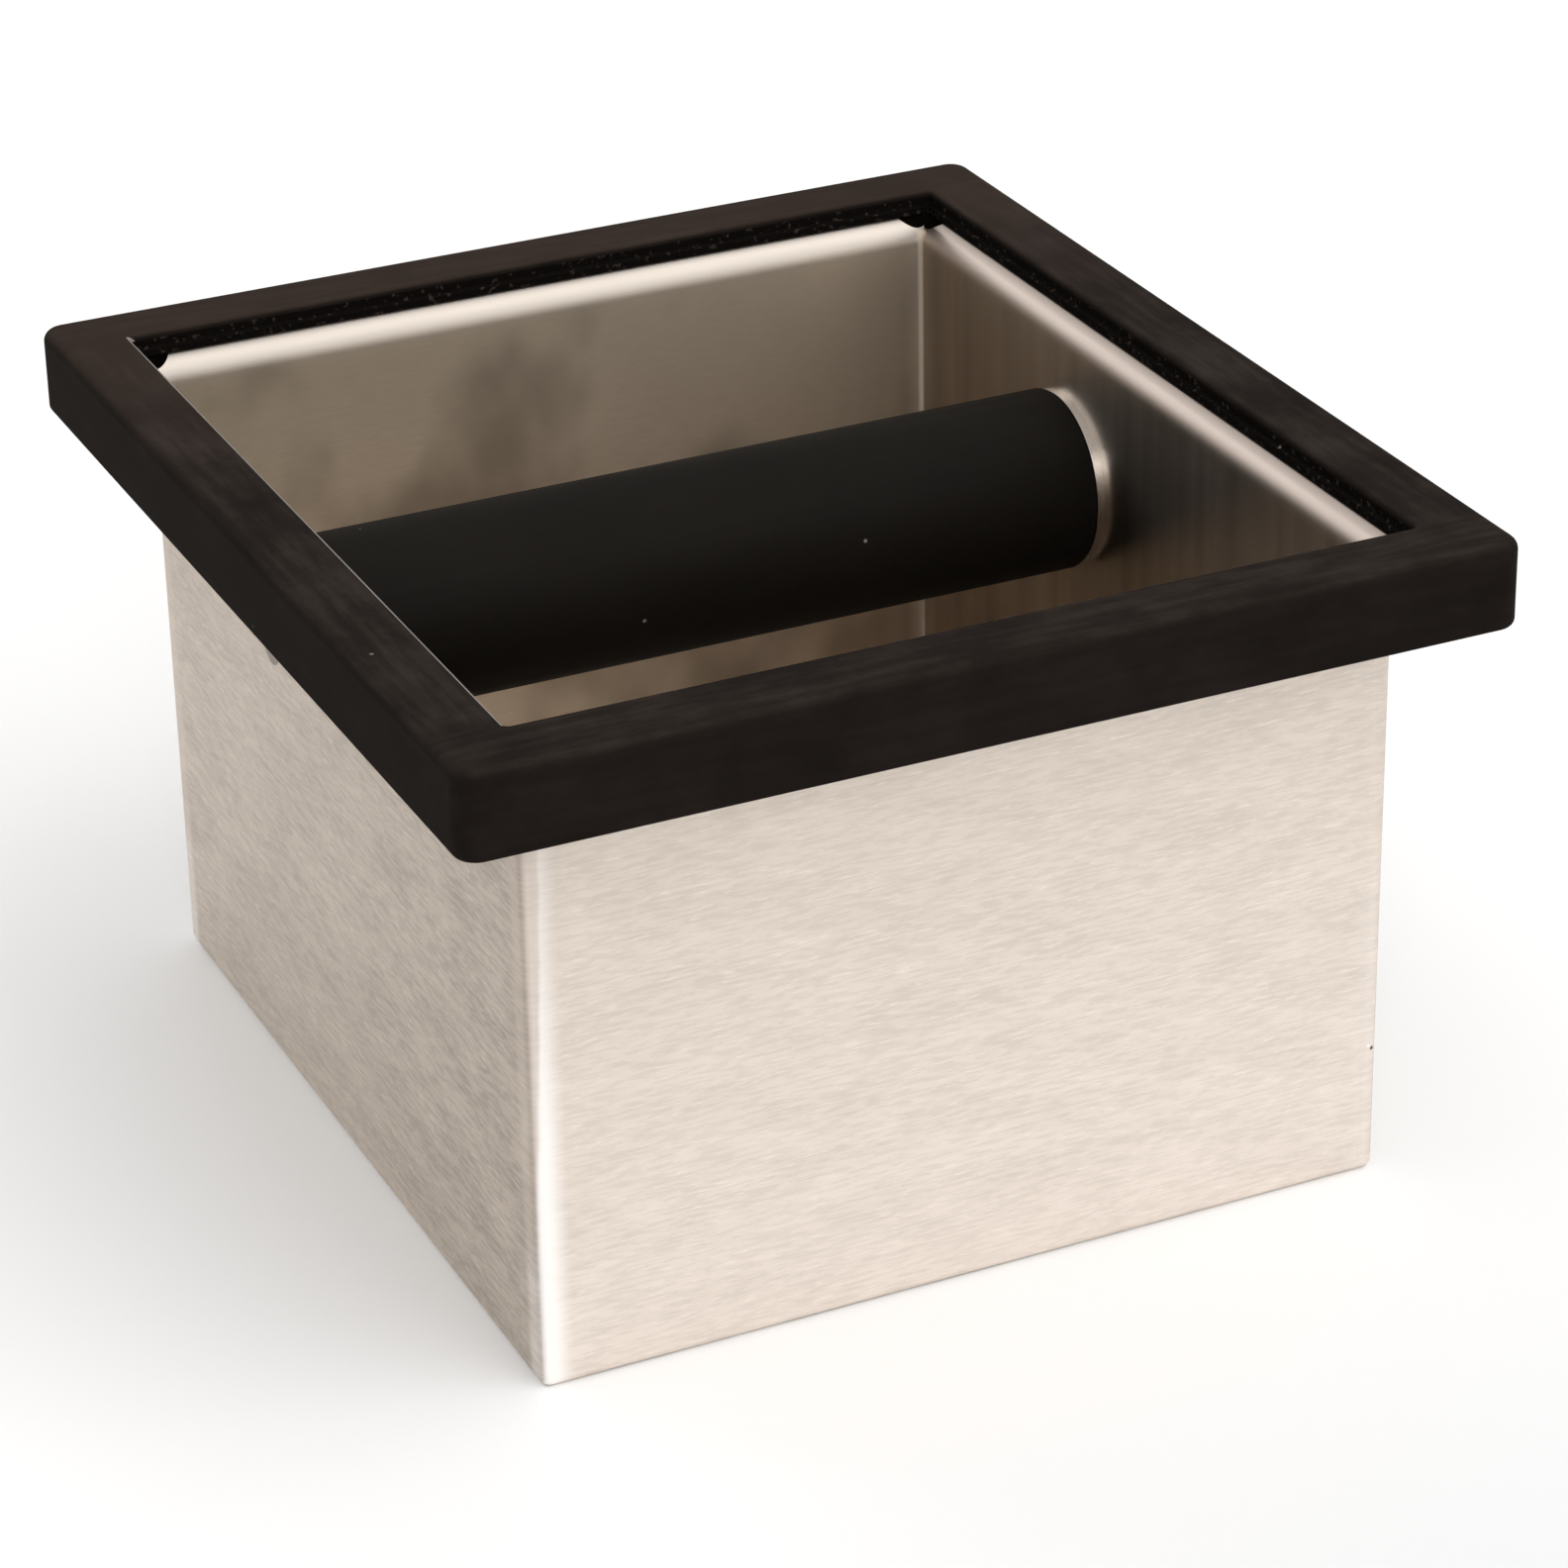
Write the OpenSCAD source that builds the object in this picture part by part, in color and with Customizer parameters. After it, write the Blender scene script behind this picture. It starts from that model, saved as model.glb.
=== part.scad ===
// Set-in espresso knock box. A folded stainless pan hangs in a counter by its rubber rim,
// and a rubber-sleeved bar crosses it from wall to wall.
// Origin at the centre of the pan's underside, +Z up, the bar along X.
// The wide well, where the portafilter swings, is on the -Y side of the bar.

/* [Pan] */
// Outside width of the pan, along the bar
pan_w = 130; // [115:1:180]
// Outside depth of the pan, across the bar
pan_d = 144; // [125:1:200]
// Overall height, from the pan's underside to the top of the rim
overall_h = 101.6; // [98:0.1:160]
// Thickness of the sheet
sheet_t = 1.2; // [1:0.1:1.3]
// Outside radius of the dressed weld down each corner
corner_r = 1.5; // [1.4:0.1:4]
// Outside radius of the bend between floor and walls
floor_bend_r = 1.3; // [1.2:0.1:1.3]

/* [Flange] */
// How far the flange's top face lies below the top of the rim
flange_drop = 3.5; // [3:0.1:4.5]
// Radius of the bend from wall to flange, on the side that shows
flange_bend_r = 4; // [3:0.1:5]
// How far the flange reaches out from the pan's outside wall
flange_reach = 10.4; // [8:0.1:11.2]
// Radius of the two relief holes that clear each corner, one in each flange's bend
relief_r = 2.9; // [2.5:0.1:3.2]
// Gap between the mitred ends of two flanges
mitre_gap = 0.5; // [0.2:0.1:1]

/* [Rim] */
// How far the rim reaches out from the pan's outside wall
rim_overhang = 12.7; // [12.2:0.1:20]
// Height of the rim
rim_h = 13; // [12:0.1:18]
// How far the rim's inner edge lies outside the pan's outside wall
rim_lip = 1.8; // [1.8:0.1:4]
// Radius of the rim's corners, seen from above
rim_corner_r = 3.4; // [2.2:0.1:10]
// Radius round the rim's top outer edge
rim_crown_r = 1.8; // [1:0.1:2.1]

/* [Knock bar] */
// Distance of the bar's axis behind the pan's centre
bar_y = 22.5; // [0:0.5:30]
// Height of the bar's axis above the pan's underside
bar_z = 72.5; // [40:0.5:75]
// Outside diameter of the rubber sleeve
sleeve_d = 28; // [24:0.5:36]
// Diameter of the steel core
core_d = 16; // [14:0.5:19]
// Diameter of the steel disc between each sleeve end and the wall
disc_d = 27.3; // [22:0.1:36]

/* [Bar screws] */
// Shank diameter of the screw into each end of the core
screw_d = 4; // [3.5:0.1:4.2]
// Head diameter of the flush screw
screw_head_d = 7.2; // [7:0.1:7.6]
// Overall length of the screw
screw_len = 16; // [12:1:20]
// Width of the screw's hexagon socket across its corners
socket_d = 2.9; // [2.5:0.1:3.1]

/* [Hidden] */

$fn = 96;
left = -1;
right = 1;
through = 1;                    // how far a cutting tool runs past a face

// heights
rim_bottom_z = overall_h - rim_h;
flange_z = overall_h - flange_drop;
bend_z = flange_z - flange_bend_r;

// inside of the pan
inner_w = pan_w - 2 * sheet_t;
inner_d = pan_d - 2 * sheet_t;

relief_edge = 0.8;              // wall's inside face to the nearest point of a relief hole

// rim profile
rim_foot_r = 1;                 // radius round the rim's bottom outer edge
ledge_drop = 2.3;               // depth of the small step inside the rim
ledge_w = 0.6;                  // width of that step
inner_corner_r = 0.8;           // corner radius of the rim's opening
rim_wall_gap = 0.4;             // rubber to the pan's outside wall
bend_pocket = 3.2;              // room in the rubber for the outside of the bend
slot_end_gap = 0.4;             // room past the flange's edge

// bar fastening: the wall is dimpled inward round each screw, and the disc surrounds the dimple
head_depth = (screw_head_d - screw_d) / 2;
hole_d = screw_d + 0.4;
dimple_land = 1;                // straight part of the dimple's hole
dimple_depth = (screw_head_d - hole_d) / 2 + dimple_land;
dimple_rise = dimple_depth - sheet_t;
dimple_skin = sheet_t * sqrt(2);
disc_hole_d = screw_head_d + 2 * (dimple_skin - sheet_t) + 0.5;
core_len = inner_w - 2 * dimple_rise;
core_bore_d = screw_d + 0.1;
core_bore_depth = 18;
core_chamfer = 0.6;
sleeve_end_gap = 0.2;           // rubber to each disc
socket_depth = 1.4;

STEEL = [0.80, 0.76, 0.71];
BRIGHT_STEEL = [0.88, 0.86, 0.82];
RIM_RUBBER = [0.17, 0.15, 0.14];
SLEEVE_RUBBER = [0.08, 0.07, 0.065];

// A rectangle with rounded corners
module rounded_rect(w, d, r) {
    square([w - 2 * r, d], center = true);
    square([w, d - 2 * r], center = true);
    for (sx = [-1, 1], sy = [-1, 1])
        translate([sx * (w / 2 - r), sy * (d / 2 - r)]) circle(r);
}

// An upright plate of that outline
module plate(w, d, r, z, h) {
    translate([0, 0, z]) linear_extrude(h) rounded_rect(w, d, r);
}

// Side view of a block: rounded at its foot and its crown
module side_profile(w, h, foot, crown) {
    translate([-w / 2, foot]) square([w, h - foot - crown]);
    translate([-w / 2 + foot, 0]) square([w - 2 * foot, h / 2]);
    translate([-w / 2 + crown, h / 2]) square([w - 2 * crown, h / 2]);
    for (s = [-1, 1]) {
        translate([s * (w / 2 - foot), foot]) circle(foot);
        if (crown > 0) translate([s * (w / 2 - crown), h - crown]) circle(crown);
    }
}

// A block rounded at its upright corners, its foot and its crown
module rounded_block(w, d, h, corner, foot, crown) {
    translate([0, d / 2 - corner, 0]) rotate([90, 0, 0])
        linear_extrude(d - 2 * corner) side_profile(w, h, foot, crown);
    translate([-w / 2 + corner, 0, 0]) rotate([90, 0, 90])
        linear_extrude(w - 2 * corner) side_profile(d, h, foot, crown);
    for (sx = [-1, 1], sy = [-1, 1])
        translate([sx * (w / 2 - corner), sy * (d / 2 - corner), 0]) rotate_extrude()
            intersection() {
                side_profile(2 * corner, h, foot, crown);
                square([corner, h]);
            }
}

// Section of one wall's bend and flange, x measured outward from the wall's outside face
module flange_section() {
    intersection() {
        translate([flange_bend_r - sheet_t, bend_z]) difference() {
            circle(flange_bend_r);
            circle(flange_bend_r - sheet_t);
        }
        translate([-sheet_t, bend_z]) square(flange_bend_r);
    }
    translate([flange_bend_r - sheet_t, flange_z - sheet_t])
        square([flange_reach - flange_bend_r + sheet_t, sheet_t]);
}

// One side's bend and flange on the +X side, mitred at 45 degrees where it meets its neighbours
module flange_side(side_w, side_d) {
    half_w = side_w / 2;
    half_d = side_d / 2;
    intersection() {
        translate([half_w, half_d + flange_reach, 0]) rotate([90, 0, 0])
            linear_extrude(side_d + 2 * flange_reach) flange_section();
        linear_extrude(overall_h) polygon([
            [half_w - 2 * sheet_t, -half_d + 2 * sheet_t],
            [half_w + flange_reach, -half_d - flange_reach],
            [half_w + flange_reach, half_d + flange_reach],
            [half_w - 2 * sheet_t, half_d - 2 * sheet_t]]);
    }
}

module flange_frame() {
    for (a = [0, 180]) {
        rotate(a) flange_side(pan_w, pan_d);
        rotate(a + 90) flange_side(pan_d, pan_w);
    }
}

// Relief holes and mitre slit at each corner of the flange
module corner_reliefs() {
    relief_out = relief_r + relief_edge;
    for (sx = [-1, 1], sy = [-1, 1])
        translate([sx * inner_w / 2, sy * inner_d / 2, bend_z + relief_edge]) {
            for (at = [[sx * relief_out, 0, 0], [0, sy * relief_out, 0]])
                translate(at) cylinder(r = relief_r, h = flange_bend_r + through);
            rotate(atan2(sy, sx)) translate([relief_out / 2, -mitre_gap / 2, 0])
                cube([2 * flange_reach, mitre_gap, flange_bend_r + through]);
        }
}

// Places a child, built along +X from the wall's outside face, on one end of the bar's axis
module at_bar_end(side) {
    translate([side * pan_w / 2, bar_y, bar_z]) rotate([0, 0, side == right ? 0 : 180]) children();
}

module cone_x(x0, x1, r0, r1) {
    translate([x0, 0, 0]) rotate([0, 90, 0]) cylinder(h = x1 - x0, r1 = r0, r2 = r1);
}

// The sheet pushed inward round a screw, before its hole is cut
module dimple() {
    cone_x(-dimple_depth, -sheet_t, screw_head_d / 2 + dimple_skin - dimple_depth,
           screw_head_d / 2 + dimple_skin - sheet_t);
}

module dimple_hole() {
    cone_x(-head_depth, 0, screw_d / 2, screw_head_d / 2);
    cone_x(-dimple_depth - through, -head_depth + 0.2, hole_d / 2, hole_d / 2);
}

// Folded sheet: floor, four walls with dressed corner welds, and the turned-out flange
module box_pan() {
    color(STEEL) difference() {
        union() {
            difference() {
                rounded_block(pan_w, pan_d, bend_z, corner_r, floor_bend_r, 0);
                translate([-inner_w / 2, -inner_d / 2, sheet_t]) cube([inner_w, inner_d, overall_h]);
            }
            flange_frame();
            for (side = [left, right]) at_bar_end(side) dimple();
        }
        corner_reliefs();
        for (side = [left, right]) at_bar_end(side) dimple_hole();
    }
}

// Moulded rubber ring, slotted to grip the flange
module rim_gasket() {
    lip_w = pan_w + 2 * rim_lip;
    lip_d = pan_d + 2 * rim_lip;
    slot = flange_reach + slot_end_gap;
    color(RIM_RUBBER) difference() {
        translate([0, 0, rim_bottom_z])
            rounded_block(pan_w + 2 * rim_overhang, pan_d + 2 * rim_overhang, rim_h,
                          rim_corner_r, rim_foot_r, rim_crown_r);
        plate(lip_w, lip_d, inner_corner_r, overall_h - ledge_drop, ledge_drop + through);
        plate(lip_w - 2 * ledge_w, lip_d - 2 * ledge_w, inner_corner_r, flange_z, flange_drop);
        plate(pan_w + 2 * slot, pan_d + 2 * slot, inner_corner_r, flange_z - sheet_t, sheet_t);
        plate(pan_w + 2 * bend_pocket, pan_d + 2 * bend_pocket, inner_corner_r, bend_z - sheet_t,
              flange_bend_r);
        plate(pan_w + 2 * rim_wall_gap, pan_d + 2 * rim_wall_gap, corner_r, rim_bottom_z - through,
              rim_h);
    }
}

// Steel rod clamped between the walls, tapped at both ends
module bar_core() {
    half = core_len / 2;
    color(BRIGHT_STEEL) translate([0, bar_y, bar_z]) difference() {
        union() {
            cone_x(-half + core_chamfer, half - core_chamfer, core_d / 2, core_d / 2);
            cone_x(-half, -half + core_chamfer, core_d / 2 - core_chamfer, core_d / 2);
            cone_x(half - core_chamfer, half, core_d / 2, core_d / 2 - core_chamfer);
        }
        for (side = [left, right])
            translate([side * (half - core_bore_depth / 2 + through / 2), 0, 0]) rotate([0, 90, 0])
                cylinder(d = core_bore_d, h = core_bore_depth + through, center = true);
    }
}

// Thick rubber tube that takes the knocks
module bar_sleeve() {
    length = core_len - 2 * sleeve_end_gap;
    color(SLEEVE_RUBBER) translate([0, bar_y, bar_z]) rotate([0, 90, 0]) difference() {
        cylinder(d = sleeve_d, h = length, center = true);
        cylinder(d = core_d, h = length + through, center = true);
    }
}

// Steel ring that fills the space round the dimple and stops the sleeve
module end_disc(side) {
    color(BRIGHT_STEEL) at_bar_end(side) difference() {
        cone_x(-dimple_depth, -sheet_t, disc_d / 2, disc_d / 2);
        cone_x(-dimple_depth - through, through, disc_hole_d / 2, disc_hole_d / 2);
    }
}

// Flush socket screw from outside the wall into the core
module bar_screw(side) {
    color(BRIGHT_STEEL) at_bar_end(side) difference() {
        union() {
            cone_x(-head_depth, 0, screw_d / 2, screw_head_d / 2);
            cone_x(-screw_len, -head_depth, screw_d / 2, screw_d / 2);
        }
        translate([-socket_depth, 0, 0]) rotate([0, 90, 0])
            cylinder(d = socket_d, h = socket_depth + through, $fn = 6);
    }
}

box_pan();
rim_gasket();
bar_core();
bar_sleeve();
end_disc(left);  // left_end_disc
end_disc(right);  // right_end_disc
bar_screw(left);  // left_bar_screw
bar_screw(right);  // right_bar_screw
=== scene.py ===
"""Looks of the set-in espresso knock box: a brushed pan, a moulded rubber rim and a rubber-sleeved bar.

All lengths are metres in the CAD frame: origin at the centre of the pan's underside, the bar along X,
the wide well on the -Y side.
"""
import math

import bmesh
import bpy
from mathutils import Matrix, Vector


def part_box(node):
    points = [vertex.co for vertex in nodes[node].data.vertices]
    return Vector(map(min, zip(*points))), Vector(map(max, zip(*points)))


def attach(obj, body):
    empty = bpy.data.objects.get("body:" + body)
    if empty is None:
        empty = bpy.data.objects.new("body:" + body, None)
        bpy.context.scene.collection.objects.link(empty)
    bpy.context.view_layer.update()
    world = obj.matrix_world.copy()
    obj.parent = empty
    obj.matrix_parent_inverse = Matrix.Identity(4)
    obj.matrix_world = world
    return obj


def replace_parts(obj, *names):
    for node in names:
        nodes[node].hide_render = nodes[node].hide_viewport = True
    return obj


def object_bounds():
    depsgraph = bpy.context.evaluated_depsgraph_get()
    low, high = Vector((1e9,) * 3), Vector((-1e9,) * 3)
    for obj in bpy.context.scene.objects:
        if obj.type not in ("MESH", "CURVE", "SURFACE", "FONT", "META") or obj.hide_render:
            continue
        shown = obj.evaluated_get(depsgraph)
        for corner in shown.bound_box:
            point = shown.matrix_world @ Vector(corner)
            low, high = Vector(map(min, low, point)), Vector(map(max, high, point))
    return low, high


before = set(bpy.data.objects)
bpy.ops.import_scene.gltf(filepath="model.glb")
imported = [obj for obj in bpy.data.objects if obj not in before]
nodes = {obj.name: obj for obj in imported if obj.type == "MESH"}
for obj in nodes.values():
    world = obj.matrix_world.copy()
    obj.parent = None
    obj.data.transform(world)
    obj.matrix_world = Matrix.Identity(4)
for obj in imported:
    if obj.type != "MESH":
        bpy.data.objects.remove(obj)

MM = 0.001
cad_low, cad_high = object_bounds()
centre = (cad_low + cad_high) / 2

# Driving sizes, from the frame
rim_low, rim_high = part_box("rim_gasket")
sleeve_low, sleeve_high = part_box("bar_sleeve")
disc_low, disc_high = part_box("right_end_disc")
SHEET = 1.2 * MM                                 # the pan's sheet steel
RIM_OVERHANG = 12.7 * MM
WALL_X = disc_high.x + SHEET                     # outside face of the right wall
WALL_Y = rim_high.y - RIM_OVERHANG               # outside face of the back wall
RIM_TOP = rim_high.z
RIM_BOTTOM = rim_low.z
BAR_Y = (sleeve_low.y + sleeve_high.y) / 2
BAR_Z = (sleeve_low.z + sleeve_high.z) / 2

# Rim section, measured outward from the wall's outside face and down from the rim's top
RIM_CROWN_R = 1.8 * MM
RIM_FOOT_R = 1.0 * MM
RIM_INNER_R = 0.8 * MM
RIM_STEP_R = 0.2 * MM
RIM_CORNER_R = 3.4 * MM                          # outside corners, seen from above
OPENING_CORNER_R = 0.8 * MM                      # corners of the opening in the lip
LEDGE_CORNER_R = 1.6 * MM                        # largest corner radius in the ledge and slot
LEAST_CORNER_R = 0.3 * MM
LIP = 1.8 * MM
LEDGE_W = 0.6 * MM
LEDGE_DROP = 2.3 * MM
FLANGE_DROP = 3.5 * MM
SLOT_END = 10.8 * MM
BEND_POCKET = 3.2 * MM
BEND_R = 4.0 * MM
WALL_GAP = 0.4 * MM
FLANGE_TOP = RIM_TOP - FLANGE_DROP

# Rubber sleeve
SLEEVE_BORE_R = 8.0 * MM
SLEEVE_EDGE_R = 0.5 * MM

# Marks on the pan
WELD_BAND = 5.2 * MM                             # dressed band beside each outside corner
SEAM = 0.6 * MM                                  # weld seen in each inside corner
PIT = Vector((WALL_X - 1.0 * MM, -WALL_Y, 20.0 * MM))    # small pit in the front wall, a dark spot of painted shade
PIT_GLINT = PIT + Vector((-0.6 * MM, 0.0, 0.5 * MM))     # painted highlight on its edge


# ---------------------------------------------------------------- node graphs
class Graph:
    """A material's node tree, with one short call for each kind of node."""

    def __init__(self, name, **values):
        self.material = bpy.data.materials.new(name)
        self.material.use_nodes = True
        self.tree = self.material.node_tree
        self.shader = self.tree.nodes["Principled BSDF"]
        for socket, value in values.items():
            self.shader.inputs[socket.replace("_", " ")].default_value = value
        self.position = self.node("ShaderNodeTexCoord").outputs["Object"]
        split = self.node("ShaderNodeSeparateXYZ", {"Vector": self.position})
        self.x, self.y, self.z = split.outputs
        self.normal = self.node("ShaderNodeNewGeometry").outputs["Normal"]

    def node(self, kind, inputs=None, **settings):
        made = self.tree.nodes.new(kind)
        for name, value in settings.items():
            setattr(made, name, value)
        for key, value in (inputs or {}).items():
            self.feed(made.inputs[key], value)
        return made

    def feed(self, socket, value):
        if isinstance(value, bpy.types.NodeSocket):
            self.tree.links.new(value, socket)
        else:
            socket.default_value = value

    def math(self, operation, a, b=0.0, c=0.0):
        made = self.node("ShaderNodeMath", {0: a, 1: b, 2: c}, operation=operation)
        return made.outputs[0]

    def absolute(self, a):
        return self.math("ABSOLUTE", a)

    def product(self, first, *others):
        """All the values multiplied together."""
        for other in others:
            first = self.math("MULTIPLY", first, other)
        return first

    def opposite(self, a):
        """1 where a is 0, and 0 where it is 1."""
        return self.math("SUBTRACT", 1.0, a)

    def scaled(self, a, factor, offset):
        """The value times factor, plus offset."""
        return self.math("MULTIPLY_ADD", a, factor, offset)

    def above(self, value, start, end):
        """0 below start, 1 above end, smooth between."""
        made = self.node("ShaderNodeMapRange", {"Value": value, "From Min": start, "From Max": end},
                         interpolation_type="SMOOTHSTEP")
        return made.outputs["Result"]

    def spread(self, value, low, high):
        """A 0-1 value carried over to the range low-high."""
        made = self.node("ShaderNodeMapRange", {"Value": value, "To Min": low, "To Max": high})
        return made.outputs["Result"]

    def stretched(self, scale_x, scale_y, scale_z):
        """Object position with each axis scaled, in cycles per metre."""
        made = self.node("ShaderNodeVectorMath", {0: self.position, 1: (scale_x, scale_y, scale_z)},
                         operation="MULTIPLY")
        return made.outputs[0]

    def noise(self, vector, scale=1.0, detail=3.0, roughness=0.55):
        inputs = {"Vector": vector, "Scale": scale, "Detail": detail, "Roughness": roughness}
        return self.node("ShaderNodeTexNoise", inputs).outputs["Fac"]

    def spot(self, place, radius):
        """1 within a small soft-edged ball round a place, 0 outside."""
        gap = self.node("ShaderNodeVectorMath", {0: self.position, 1: tuple(place)}, operation="DISTANCE")
        return self.opposite(self.above(gap.outputs["Value"], 0.6 * radius, 1.4 * radius))

    def specks(self, scale, sure, gone):
        """1 at scattered points, 0 away from them."""
        cells = self.node("ShaderNodeTexVoronoi", {"Vector": self.position, "Scale": scale})
        return self.opposite(self.above(cells.outputs["Distance"], sure, gone))

    def mix(self, factor, a, b):
        """Mixes two colours or two plain numbers."""
        colour = any(isinstance(v, tuple) or getattr(v, "type", "") == "RGBA" for v in (a, b))
        return self.mix_as("RGBA" if colour else "FLOAT", factor, a, b)

    def vector_mix(self, factor, a, b):
        return self.mix_as("VECTOR", factor, a, b)

    def mix_as(self, kind, factor, a, b):
        made = self.node("ShaderNodeMix", data_type=kind)
        sockets = [s for s in made.inputs if s.enabled]
        for socket, value in zip(sockets, (factor, a, b)):
            self.feed(socket, value)
        return next(s for s in made.outputs if s.enabled)

    def bump(self, height, distance, strength):
        inputs = {"Height": height, "Distance": distance, "Strength": strength}
        return self.node("ShaderNodeBump", inputs).outputs["Normal"]

    def shade(self, **inputs):
        """Feeds the shader's sockets and hands back the finished material."""
        for socket, value in inputs.items():
            self.feed(self.shader.inputs[socket.replace("_", " ")], value)
        return self.material


def rgb(red, green, blue):
    """A linear colour as a socket value."""
    return (red, green, blue, 1.0)


# ---------------------------------------------------------------- pan steel
STROKE_BROWN = rgb(0.36, 0.31, 0.26)
SMUDGE_BROWN = rgb(0.33, 0.27, 0.205)


class PanSteel(Graph):
    """The pan's finish: masks that tell the sheet's faces apart, and a method for each part of the look."""

    def __init__(self):
        super().__init__("pan_brushed_steel", Metallic=1.0, Anisotropic=0.7)
        self.away_x = self.absolute(self.x)
        self.away_y = self.absolute(self.y)
        normal_x, _, normal_z = self.node("ShaderNodeSeparateXYZ", {"Vector": self.normal}).outputs
        self.level = self.above(self.absolute(normal_z), 0.6, 0.9)
        self.end_wall = self.above(self.absolute(normal_x), 0.6, 0.9)
        self.left_side = self.math("LESS_THAN", self.x, 0.0)
        self.up_wall = self.above(self.z, 0.0, RIM_BOTTOM)
        self.inside = self.product(self.math("LESS_THAN", self.away_x, WALL_X - 0.5 * SHEET),
                                   self.math("LESS_THAN", self.away_y, WALL_Y - 0.5 * SHEET))
        self.outside = self.opposite(self.inside)
        self.bend = self.above(self.z, FLANGE_TOP - BEND_R - 1.5 * MM, FLANGE_TOP - 0.5 * BEND_R)
        self.on_end_wall_bend = self.math("GREATER_THAN", self.math("SUBTRACT", self.away_x, self.away_y),
                                          WALL_X - WALL_Y)
        self.strokes = self.noise(self.stretched(240, 240, 1900), detail=5.0, roughness=0.66)
        self.worked = self.opposite(self.above(self.strokes, 0.38, 0.60))
        self.film = self.noise(self.stretched(48, 48, 36), detail=2.5, roughness=0.45)

    def dressed_weld(self):
        """The weld's band on both faces of a corner, a painted highlight along it, and a darker strip along
        its edge.
        """
        waver = self.spread(self.noise(self.stretched(0, 0, 90), detail=2.0), -0.5 * MM, 0.5 * MM)
        from_x = self.math("SUBTRACT", WALL_X, self.math("ADD", self.away_x, waver))
        from_y = self.math("SUBTRACT", WALL_Y, self.math("ADD", self.away_y, waver))
        band = self.product(self.opposite(self.above(from_x, 1.5 * MM, WELD_BAND)),
                            self.opposite(self.above(from_y, 3.0 * MM, WELD_BAND)), self.outside)

        # Painted highlight down the dressed corners: brightest on the left corners, weaker on the end walls
        # and in the rim's shade
        near_rim = self.above(self.z, 0.35 * RIM_BOTTOM, RIM_BOTTOM)
        painted_highlight = self.product(band, self.scaled(self.left_side, 0.8, 0.1),
                             self.scaled(self.end_wall, -0.62, 1.0),
                             self.spread(self.opposite(near_rim), 0.5, 1.0))

        # Higher up, a darker strip runs along the left corners' edge, and the painted highlight starts
        # further in along the wall
        inset = self.math("SUBTRACT", from_x, self.spread(self.up_wall, 0.0, 2.9 * MM))
        edge_strip = self.opposite(self.above(inset, -0.7 * MM, 0.1 * MM))
        painted_highlight = self.product(painted_highlight, self.scaled(edge_strip, -0.75, 1.0))
        edge_darkened = self.product(band, edge_strip, self.left_side, 0.35)
        return band, painted_highlight, edge_darkened

    def brushed_grain(self, weld):
        """Long fine lines along the sheet, and upright ones where the weld was dressed."""
        wall_grain = self.noise(self.stretched(60, 60, 3400), detail=4.0, roughness=0.6)
        floor_grain = self.noise(self.stretched(60, 3400, 60), detail=4.0, roughness=0.6)
        weld_lines = self.noise(self.stretched(1500, 1500, 15), detail=3.0, roughness=0.6)
        return self.mix(weld, self.mix(self.level, wall_grain, floor_grain), weld_lines)

    def outside_tone(self, grain, weld_painted_highlight, weld_edge_darkened):
        """Pale front and back, browner end walls, with short strokes, soft clouds and glints; the end
        walls' darker colour and the darkening higher up are painted shade.
        """
        # Painted shade: front and back paler low down, darker higher up toward the rim
        pale = self.mix(self.up_wall, rgb(0.86, 0.775, 0.705), rgb(0.81, 0.715, 0.635))
        higher = self.above(self.z, 30 * MM, RIM_BOTTOM)
        # Painted shade: the end walls take a darker, browner copy of the colour, darker still higher up
        # under the rim
        end_wall_shade = self.mix(higher, rgb(0.54, 0.465, 0.395), rgb(0.50, 0.43, 0.365))
        tone = self.mix(self.product(self.end_wall, 0.8), pale, end_wall_shade)

        clouds = self.noise(self.stretched(55, 55, 170), detail=4.0, roughness=0.6)
        cloudy = self.opposite(self.above(clouds, 0.36, 0.62))
        toward_front = self.above(self.product(self.y, -1.0), -0.3 * WALL_Y, WALL_Y)
        darkness = self.math("ADD", self.product(self.worked, 0.65), self.product(cloudy, 0.35))
        darkness = self.product(darkness, self.scaled(self.end_wall, 0.40, 0.25),
                                self.scaled(self.product(toward_front, self.end_wall), 0.4, 1.0))
        tone = self.mix(darkness, tone, STROKE_BROWN)
        tone = self.mix(self.product(self.spread(grain, 0.2, 0.0), self.outside), tone, STROKE_BROWN)

        bright_strokes = self.noise(self.stretched(310, 310, 2300), detail=3.0, roughness=0.6)
        glints = self.product(self.above(bright_strokes, 0.56, 0.72), self.scaled(self.end_wall, -0.1, 0.3))
        tone = self.mix(glints, tone, rgb(0.97, 0.90, 0.84))
        # A darker strip along the corner's edge, then the painted highlight down the dressed corner
        tone = self.mix(weld_edge_darkened, tone, rgb(0.56, 0.46, 0.385))
        tone = self.mix(weld_painted_highlight, tone, rgb(0.99, 0.965, 0.94))
        # The pit: a dark spot of painted shade with a painted highlight on its edge
        tone = self.mix(self.spot(PIT, 0.3 * MM), tone, rgb(0.06, 0.045, 0.035))
        return self.mix(self.spot(PIT_GLINT, 0.2 * MM), tone, rgb(1.0, 0.97, 0.94))

    def inside_tone(self):
        """Browner high up where coffee film dries on, soft dark smudges, painted light toward the right and
        beside the end walls, and mottled painted shade on the end walls.
        """
        higher = self.above(self.z, 20 * MM, 85 * MM)
        tone = self.mix(higher, rgb(0.74, 0.645, 0.54), rgb(0.65, 0.54, 0.415))
        smudge = self.product(self.above(self.film, 0.42, 0.66), self.scaled(self.level, -0.55, 0.9))
        tone = self.mix(smudge, tone, SMUDGE_BROWN)
        tone = self.mix(self.product(self.worked, 0.10), tone, SMUDGE_BROWN)
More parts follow.
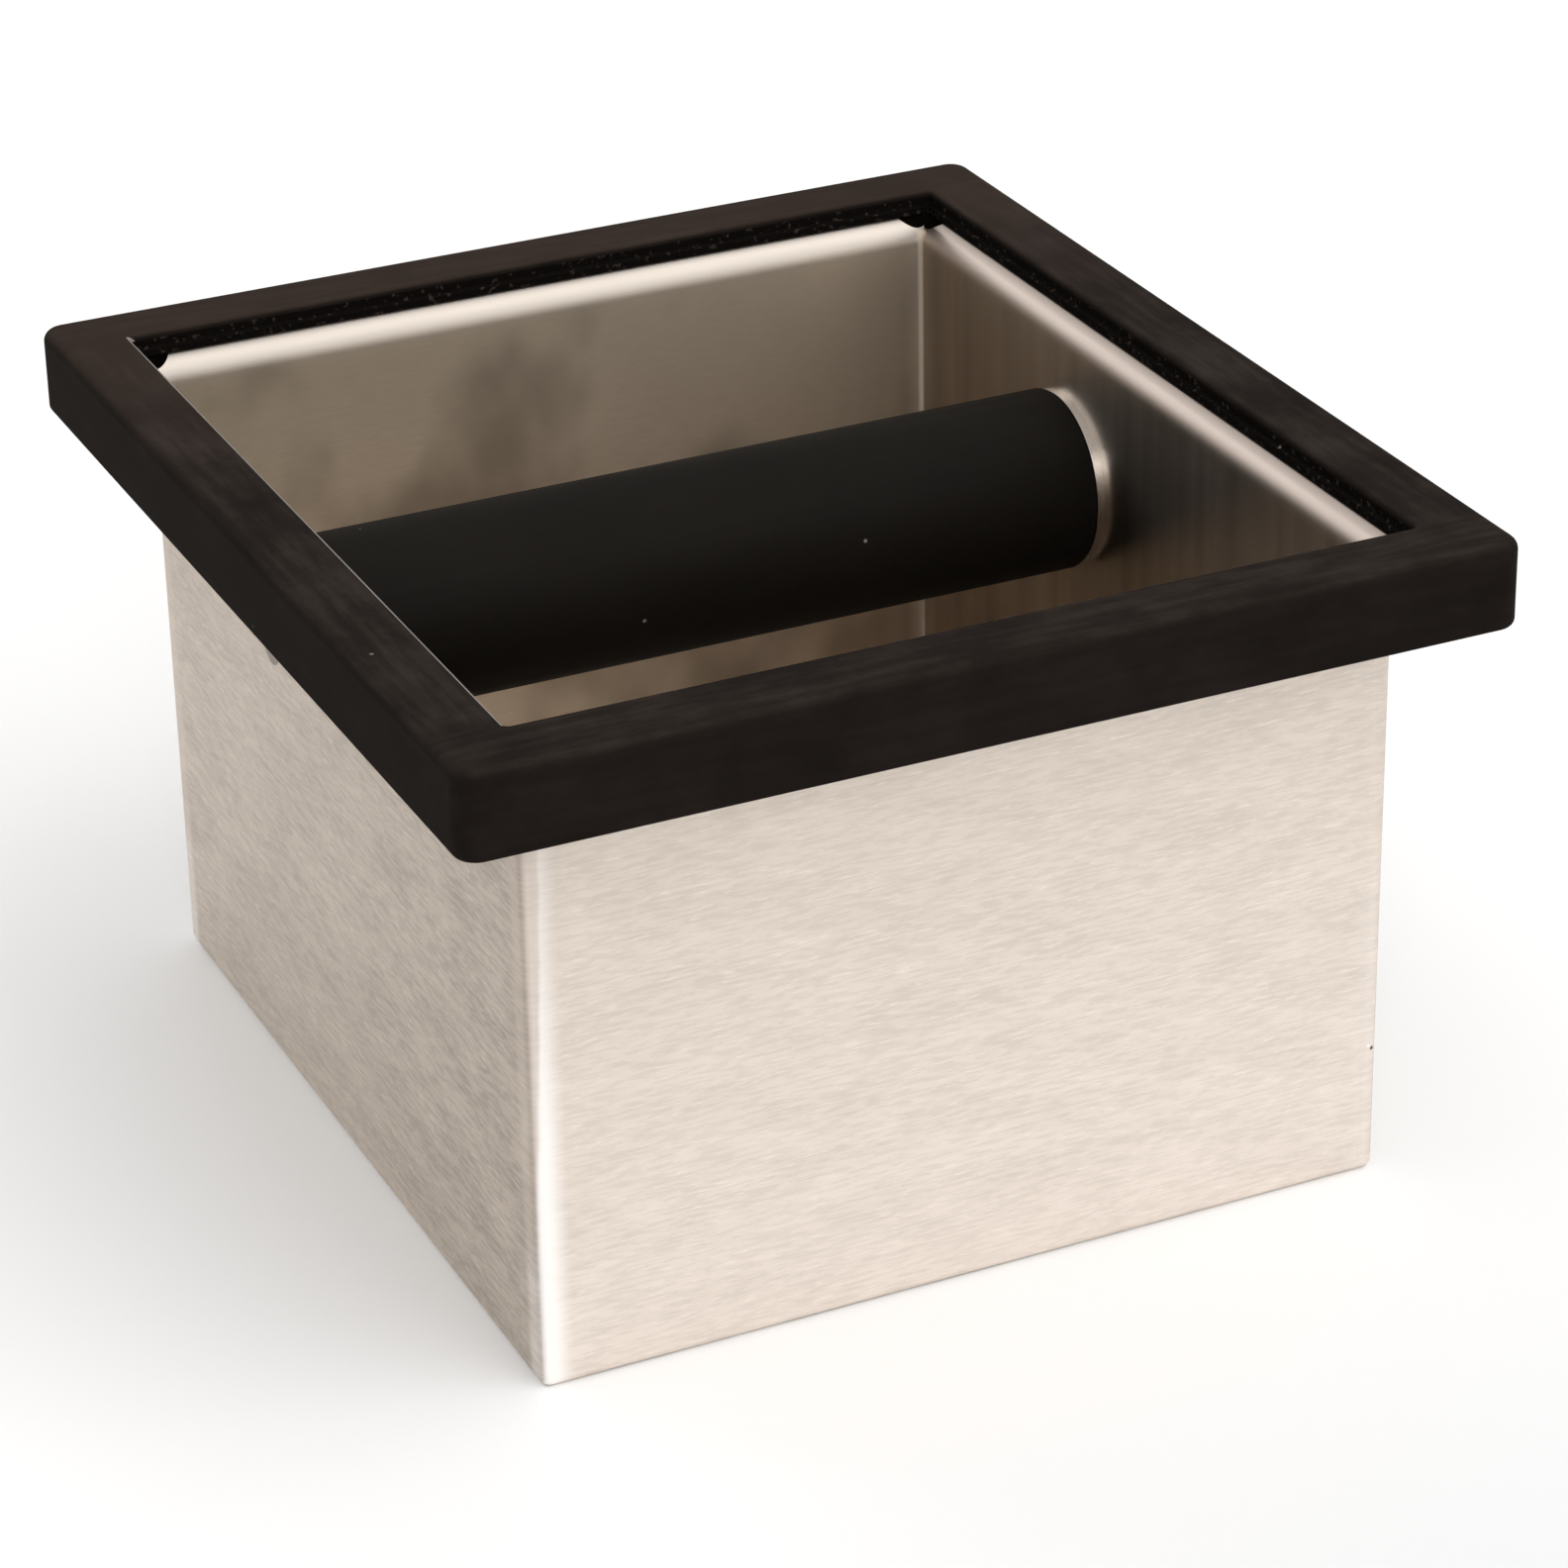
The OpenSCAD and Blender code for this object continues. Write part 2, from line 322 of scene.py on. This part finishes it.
        # Painted light: lighter toward the right, and lighter again in the strip beside each end wall
        toward_right = self.above(self.x, 0.0, WALL_X)
        tone = self.mix(self.product(toward_right, 0.2), tone, rgb(0.95, 0.80, 0.64))
        toward_corner = self.above(self.away_x, WALL_X - SHEET - 3.5 * MM, WALL_X - SHEET)
        tone = self.mix(self.product(toward_corner, 0.7), tone, rgb(0.95, 0.85, 0.74))
        # Painted shade on the end walls' inside faces, mottled by noise
        inner_end_wall_shade = self.noise(self.stretched(30, 190, 12), detail=3.0, roughness=0.5)
        return self.mix(self.product(self.end_wall, self.spread(inner_end_wall_shade, 0.55, 0.95)), tone,
                        rgb(0.165, 0.13, 0.11))

    def inside_seam(self):
        """The weld, showing through as a pale line in each inside corner."""
        return self.product(self.math("GREATER_THAN", self.away_x, WALL_X - SHEET - SEAM),
                            self.math("GREATER_THAN", self.away_y, WALL_Y - SHEET - SEAM), self.inside)


def brushed_pan_steel():
    """Short faint strokes outside, dressed corner welds with upright lines, a smudged satin inside."""
    g = PanSteel()
    weld, weld_painted_highlight, weld_edge_darkened = g.dressed_weld()
    grain = g.brushed_grain(weld)
    seam = g.inside_seam()

    tone = g.mix(g.inside, g.outside_tone(grain, weld_painted_highlight, weld_edge_darkened), g.inside_tone())
    bend_tone = g.mix(g.on_end_wall_bend, rgb(0.485, 0.435, 0.39), rgb(0.49, 0.42, 0.375))
    tone = g.mix(g.bend, tone, bend_tone)
    tone = g.mix(seam, tone, rgb(0.60, 0.52, 0.43))

    # Coffee film and the seam hide some of the metal's own reflection
    filmed = g.product(g.math("SUBTRACT", g.inside, g.end_wall), 0.2)
    metal = g.opposite(g.math("MAXIMUM", filmed, g.product(seam, 0.8)))

    rough = g.mix(g.inside, g.spread(grain, 0.44, 0.54), g.spread(g.film, 0.28, 0.36))
    rough = g.mix(g.bend, rough, g.spread(grain, 0.37, 0.45))
    height = g.math("ADD", g.product(grain, 0.5), g.product(g.strokes, 0.5))
    across = g.vector_mix(g.level, (0.0, 0.0, 1.0), (0.0, 1.0, 0.0))
    return g.shade(Base_Color=tone, Metallic=metal, Roughness=rough, Tangent=across,
                   Normal=g.bump(height, 0.02 * MM, 0.35))


# ---------------------------------------------------------------- other materials
def turned_steel(name, pale, deep, rough_low, rough_high):
    """Machined steel with faint turning rings about the bar's axis, with painted shade below it."""
    g = Graph(name, Metallic=1.0)
    across = g.math("SUBTRACT", g.y, BAR_Y)
    above_axis = g.math("SUBTRACT", g.z, BAR_Z)
    radius = g.math("SQRT", g.math("ADD", g.product(across, across), g.product(above_axis, above_axis)))
    ring_place = g.node("ShaderNodeCombineXYZ", {"X": radius, "Y": g.x}).outputs[0]
    rings = g.noise(ring_place, scale=3500.0)
    patches = g.noise(g.position, scale=140.0, detail=3.0)
    wear = g.product(g.math("ADD", rings, patches), 0.5)
    # Painted shade: darker below the axis, where the surface faces down into the pan
    below_axis_shade = g.product(g.opposite(g.above(above_axis, -5.0 * MM, 5.0 * MM)), 0.85)
    tone = g.mix(below_axis_shade, g.mix(wear, deep, pale), rgb(0.16, 0.13, 0.105))
    return g.shade(Base_Color=tone, Roughness=g.spread(wear, rough_low, rough_high),
                   Normal=g.bump(rings, 0.02 * MM, 0.4))


def rim_rubber():
    """Matt warm-black moulded rubber: drag marks, dust on top, painted shade on the sides and under the
    lip, grit in the ledge, a painted highlight on the left lip's inner edge.
    """
    g = Graph("rim_moulded_rubber", IOR=1.5, Specular_IOR_Level=0.015)
    away_x, away_y = g.absolute(g.x), g.absolute(g.y)
    mottle = g.noise(g.stretched(60, 60, 60), detail=5.0, roughness=0.65)
    pores = g.noise(g.stretched(1500, 1500, 1500), detail=3.0, roughness=0.6)
    drag_along_x = g.noise(g.stretched(60, 520, 520), detail=4.0, roughness=0.6)
    drag_along_y = g.noise(g.stretched(520, 60, 520), detail=4.0, roughness=0.6)
    on_x_runs = g.above(away_y, WALL_Y, WALL_Y + 2 * MM)
    drag = g.mix(on_x_runs, drag_along_y, drag_along_x)
    normal_z = g.node("ShaderNodeSeparateXYZ", {"Vector": g.normal}).outputs["Z"]
    upward = g.above(normal_z, 0.2, 0.95)

    tone = g.mix(mottle, rgb(0.0075, 0.0056, 0.0045), rgb(0.0175, 0.0136, 0.0112))
    dust = g.product(g.above(g.product(drag, mottle), 0.14, 0.44), g.scaled(upward, 0.7, 0.3), 0.4)
    tone = g.mix(dust, tone, rgb(0.048, 0.038, 0.033))
    settled = g.product(g.above(g.y, 0.0, WALL_Y), upward, 0.45)
    tone = g.mix(settled, tone, rgb(0.044, 0.030, 0.024))
    # Painted shade: the side faces darker than the top
    side_shade = g.product(g.opposite(upward), 0.25)
    tone = g.mix(side_shade, tone, rgb(0.003, 0.0018, 0.001))

    # Faces under the lip: painted shade in deep black, with settled grit in the ledge
    below_lip = g.math("LESS_THAN", g.z, RIM_TOP - 0.9 * MM)
    ledge = g.product(below_lip, g.math("LESS_THAN", away_x, WALL_X + LIP + 0.1 * MM),
                      g.math("LESS_THAN", away_y, WALL_Y + LIP + 0.1 * MM))
    grit = g.above(g.noise(g.stretched(1100, 1100, 1100), detail=1.0), 0.60, 0.72)
    tone = g.mix(ledge, tone, g.mix(grit, rgb(0.0045, 0.0036, 0.003), rgb(0.030, 0.024, 0.020)))

    # Left lip's inner edge: a painted highlight, a thin pale line
    left_edge_highlight = g.product(g.math("GREATER_THAN", g.x, -(WALL_X + LIP) - 0.55 * MM),
                       g.math("LESS_THAN", g.x, 0.0), g.math("LESS_THAN", away_y, WALL_Y + LIP),
                       g.opposite(below_lip), g.spread(mottle, 0.45, 1.0))
    tone = g.mix(left_edge_highlight, tone, rgb(0.30, 0.28, 0.265))

    tone = g.mix(g.product(g.specks(85.0, 0.016, 0.03), 0.7), tone, rgb(0.2, 0.18, 0.165))
    height = g.math("ADD", g.product(pores, 0.5), g.product(drag, 0.5))
    return g.shade(Base_Color=tone, Roughness=g.spread(mottle, 0.64, 0.82),
                   Normal=g.bump(height, 0.06 * MM, 0.5))


def sleeve_rubber():
    """Darker, slightly smoother extruded rubber with long faint draw lines and a few specks."""
    g = Graph("sleeve_extruded_rubber", IOR=1.5, Specular_IOR_Level=0.05)
    mottle = g.noise(g.stretched(40, 70, 70), detail=4.0, roughness=0.6)
    draw = g.noise(g.stretched(14, 700, 700), detail=4.0, roughness=0.6)
    tone = g.mix(mottle, rgb(0.0052, 0.0042, 0.0033), rgb(0.0098, 0.0082, 0.0066))
    tone = g.mix(g.product(g.specks(110.0, 0.022, 0.04), 0.8), tone, rgb(0.22, 0.2, 0.18))
    return g.shade(Base_Color=tone, Roughness=g.spread(draw, 0.55, 0.7),
                   Normal=g.bump(g.math("ADD", draw, mottle), 0.05 * MM, 0.5))


def studio_floor():
    """Pale satin sweep with a faint sheen, and painted shade in front of the box standing in for its soft
    reflection.
    """
    g = Graph("studio_floor", Roughness=0.42, Specular_IOR_Level=0.5)
    tint = g.noise(g.stretched(3, 3, 3), detail=2.0)
    paper = g.mix(tint, rgb(0.865, 0.868, 0.872), rgb(0.885, 0.888, 0.892))
    # Painted shade: the floor greyer in front of the box, standing in for the box's soft reflection
    clear_of_front_shade = g.above(g.y, -260 * MM, -40 * MM)
    return g.shade(Base_Color=g.mix(clear_of_front_shade, rgb(0.665, 0.682, 0.702), paper))


# ---------------------------------------------------------------- shapes
def arc(cx, cz, radius, start, end, steps):
    """Points along an arc in a section, angles in degrees."""
    points = []
    for i in range(steps + 1):
        angle = math.radians(start + (end - start) * i / steps)
        points.append((cx + radius * math.cos(angle), cz + radius * math.sin(angle)))
    return points


def rim_section():
    """Closed outline of the rubber: (distance outward from the wall's outside face, height)."""
    top, bottom = RIM_TOP, RIM_BOTTOM
    ledge_z = top - LEDGE_DROP
    flange_z = top - FLANGE_DROP
    outline = [(WALL_GAP, bottom)]
    outline += arc(RIM_OVERHANG - RIM_FOOT_R, bottom + RIM_FOOT_R, RIM_FOOT_R, -90, 0, 5)
    outline += arc(RIM_OVERHANG - RIM_CROWN_R, top - RIM_CROWN_R, RIM_CROWN_R, 0, 90, 9)
    outline += arc(LIP + RIM_INNER_R, top - RIM_INNER_R, RIM_INNER_R, 90, 180, 6)
    outline += arc(LIP - RIM_STEP_R, ledge_z + RIM_STEP_R, RIM_STEP_R, 0, -90, 3)
    outline += arc(LIP - LEDGE_W + RIM_STEP_R, ledge_z - RIM_STEP_R, RIM_STEP_R, 90, 180, 3)
    outline += [(LIP - LEDGE_W, flange_z), (SLOT_END, flange_z), (SLOT_END, flange_z - SHEET)]
    outline += [(BEND_POCKET, flange_z - SHEET), (BEND_POCKET, flange_z - BEND_R - SHEET)]
    outline += [(WALL_GAP, flange_z - BEND_R - SHEET)]
    return outline


def corner_radius_at(out):
    """Corner radius of the loop at a given distance outward from the wall."""
    inner = OPENING_CORNER_R + max(0.0, out - LIP)
    outer = RIM_CORNER_R - (RIM_OVERHANG - out)
    return max(outer, min(inner, LEDGE_CORNER_R), LEAST_CORNER_R)


def rotated(x, y, turn):
    """A point turned about the origin."""
    return (x * math.cos(turn) - y * math.sin(turn), x * math.sin(turn) + y * math.cos(turn))


def frame_loop(half_x, half_y, radius, run_steps, corner_steps):
    """Points round a rounded rectangle, counter-clockwise from the -Y end of the +X side."""
    points = []
    for quarter in range(4):
        turn = math.radians(90 * quarter)
        across, along = (half_x, half_y) if quarter % 2 == 0 else (half_y, half_x)
        for i in range(run_steps):
            t = -1 + 2 * i / run_steps
            points.append(rotated(across, t * (along - radius), turn))
        for i in range(corner_steps):
            angle = math.radians(90 * i / corner_steps)
            points.append(rotated(across - radius + radius * math.cos(angle),
                                  along - radius + radius * math.sin(angle), turn))
    return points


def finish_mesh(name, bm, material, sharp_angle=40):
    """Turns a bmesh into a smooth-shaded piece on the root body."""
    bmesh.ops.recalc_face_normals(bm, faces=bm.faces)
    mesh = bpy.data.meshes.new(name)
    bm.to_mesh(mesh)
    bm.free()
    mesh.shade_smooth()
    mesh.set_sharp_from_angle(angle=math.radians(sharp_angle))
    mesh.materials.append(material)
    piece = bpy.data.objects.new(name, mesh)
    bpy.context.scene.collection.objects.link(piece)
    weighted = piece.modifiers.new("even_shading", "WEIGHTED_NORMAL")
    weighted.keep_sharp = True
    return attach(piece, "root")


def join_rings(bm, rings):
    """Faces between each ring of points and the next, and from the last back to the first."""
    count = len(rings[0])
    for ring, following in zip(rings, rings[1:] + rings[:1]):
        for i in range(count):
            j = (i + 1) % count
            bm.faces.new((ring[i], ring[j], following[j], following[i]))


def rim_piece(material):
    """The rim: its section swept round the pan, each outline point with its own corner radius."""
    bm = bmesh.new()
    rings = []
    for out, height in rim_section():
        loop = frame_loop(WALL_X + out, WALL_Y + out, corner_radius_at(out), run_steps=24, corner_steps=8)
        rings.append([bm.verts.new((x, y, height)) for x, y in loop])
    join_rings(bm, rings)
    piece = finish_mesh("rim_rubber_moulding", bm, material)
    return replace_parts(piece, "rim_gasket")


def sleeve_profile():
    """Closed outline of the tube: (x, distance from the bar's axis)."""
    outer = (sleeve_high.z - sleeve_low.z) / 2
    edge = SLEEVE_EDGE_R
    left, right = sleeve_low.x, sleeve_high.x
    straight = right - left - 2 * edge
    spans = 24
    profile = [(left, SLEEVE_BORE_R)]
    profile += arc(left + edge, outer - edge, edge, 180, 90, 5)
    profile += [(left + edge + straight * i / spans, outer) for i in range(1, spans)]
    profile += arc(right - edge, outer - edge, edge, 90, 0, 5)
    profile += [(right, SLEEVE_BORE_R)]
    return profile


def sleeve_piece(material):
    """The rubber tube with softened ends: its outline turned about the bar's axis."""
    bm = bmesh.new()
    steps = 128
    rings = []
    for x, radius in sleeve_profile():
        ring = []
        for i in range(steps):
            angle = 2 * math.pi * i / steps
            place = (x, BAR_Y + radius * math.cos(angle), BAR_Z + radius * math.sin(angle))
            ring.append(bm.verts.new(place))
        rings.append(ring)
    join_rings(bm, rings)
    piece = finish_mesh("bar_rubber_sleeve", bm, material)
    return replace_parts(piece, "bar_sleeve")


# ---------------------------------------------------------------- studio
CAMERA_AZIMUTH = -24.19       # degrees, from straight in front; minus is to the left
CAMERA_ELEVATION = 26.43
CAMERA_ROLL = -1.32
CAMERA_DISTANCE = 0.761       # metres
CAMERA_SENSOR = 36.0          # lens sizes in Blender's own millimetres
CAMERA_LENS = 118.94
CAMERA_SHIFT = (0.0223, -0.0243)
AIR_BRIGHTEST_FROM = Vector((0.6, -0.65, 0.47))
AIR_DIMMEST = 0.52
AIR_BRIGHTEST = 0.78
FLOOR_SIZE = 4.0
FLOOR_CLEARANCE = 0.02 * MM


def make_camera():
    """The photo's view: in front on the left, from above, slightly rolled."""
    azimuth = math.radians(CAMERA_AZIMUTH)
    elevation = math.radians(CAMERA_ELEVATION)
    roll = math.radians(CAMERA_ROLL)
    back = Vector((math.sin(azimuth) * math.cos(elevation), -math.cos(azimuth) * math.cos(elevation),
                   math.sin(elevation)))
    level = Vector((math.cos(azimuth), math.sin(azimuth), 0.0))
    upright = back.cross(level)
    right = level * math.cos(roll) + upright * math.sin(roll)
    up = upright * math.cos(roll) - level * math.sin(roll)
    data = bpy.data.cameras.new("camera")
    data.sensor_width = CAMERA_SENSOR
    data.lens = CAMERA_LENS
    data.shift_x, data.shift_y = CAMERA_SHIFT
    data.clip_start = 0.01
    data.clip_end = 50.0
    camera = bpy.data.objects.new("camera", data)
    bpy.context.scene.collection.objects.link(camera)
    camera.matrix_world = (Matrix.Translation(centre + back * CAMERA_DISTANCE)
                           @ Matrix((right, up, back)).transposed().to_4x4())
    bpy.context.scene.camera = camera
    bpy.context.scene.view_settings.view_transform = "Standard"


def softbox(name, place, size, power):
    """A square area light aimed at the box."""
    data = bpy.data.lights.new(name, "AREA")
    data.size = size
    data.energy = power
    light = bpy.data.objects.new(name, data)
    bpy.context.scene.collection.objects.link(light)
    light.location = place
    light.rotation_mode = "QUATERNION"
    light.rotation_quaternion = (centre - Vector(place)).to_track_quat("-Z", "Y")
    light.visible_camera = False


def light_air(tree):
    """Soft room light, strongest from the front right and dimmest behind on the left."""
    direction = tree.nodes.new("ShaderNodeTexCoord").outputs["Generated"]
    facing = tree.nodes.new("ShaderNodeVectorMath")
    facing.operation = "DOT_PRODUCT"
    facing.inputs[1].default_value = AIR_BRIGHTEST_FROM.normalized()
    strength = tree.nodes.new("ShaderNodeMapRange")
    strength.inputs["From Min"].default_value = -1.0
    strength.inputs["To Min"].default_value = AIR_DIMMEST
    strength.inputs["To Max"].default_value = AIR_BRIGHTEST
    background = tree.nodes["Background"]
    background.inputs["Color"].default_value = rgb(1.0, 0.985, 0.965)
    tree.links.new(direction, facing.inputs[0])
    tree.links.new(facing.outputs["Value"], strength.inputs["Value"])
    tree.links.new(strength.outputs["Result"], background.inputs["Strength"])


def make_lights():
    """Soft room light and four softboxes."""
    world = bpy.data.worlds.new("studio_air")
    world.use_nodes = True
    bpy.context.scene.world = world
    light_air(world.node_tree)
    softbox("key_softbox", place=(1.0, -1.1, 1.5), size=2.6, power=29.0)
    softbox("back_softbox", place=(-0.75, 1.35, 0.75), size=1.0, power=4.5)
    softbox("front_softbox", place=(-0.55, -1.25, 0.85), size=0.5, power=4.0)
    softbox("top_softbox", place=(0.0, 0.2, 1.7), size=2.2, power=8.0)


def make_floor():
    """A plain floor just under the box, so that the two don't share a plane."""
    bm = bmesh.new()
    bmesh.ops.create_grid(bm, x_segments=8, y_segments=8, size=FLOOR_SIZE)
    mesh = bpy.data.meshes.new("studio_floor")
    bm.to_mesh(mesh)
    bm.free()
    mesh.materials.append(studio_floor())
    floor = bpy.data.objects.new("studio_floor", mesh)
    bpy.context.scene.collection.objects.link(floor)
    floor.location.z = cad_low.z - FLOOR_CLEARANCE


def give(node, material):
    """A CAD node keeps its shape and takes this finish."""
    part = nodes[node]
    part.data.materials.clear()
    part.data.materials.append(material)


# ---------------------------------------------------------------- the scene
make_camera()
make_lights()
make_floor()

core_steel = turned_steel("core_turned_steel", pale=rgb(0.62, 0.6, 0.57), deep=rgb(0.45, 0.43, 0.41),
                          rough_low=0.25, rough_high=0.4)
disc_steel = turned_steel("disc_turned_steel", pale=rgb(0.97, 0.945, 0.91), deep=rgb(0.86, 0.83, 0.79),
                          rough_low=0.26, rough_high=0.38)
screw_steel = turned_steel("screw_dull_steel", pale=rgb(0.56, 0.49, 0.43), deep=rgb(0.42, 0.37, 0.32),
                           rough_low=0.4, rough_high=0.55)
give("box_pan", brushed_pan_steel())
give("bar_core", core_steel)
for node in ("left_end_disc", "right_end_disc"):
    give(node, disc_steel)
for node in ("left_bar_screw", "right_bar_screw"):
    give(node, screw_steel)
rim_piece(rim_rubber())
sleeve_piece(sleeve_rubber())
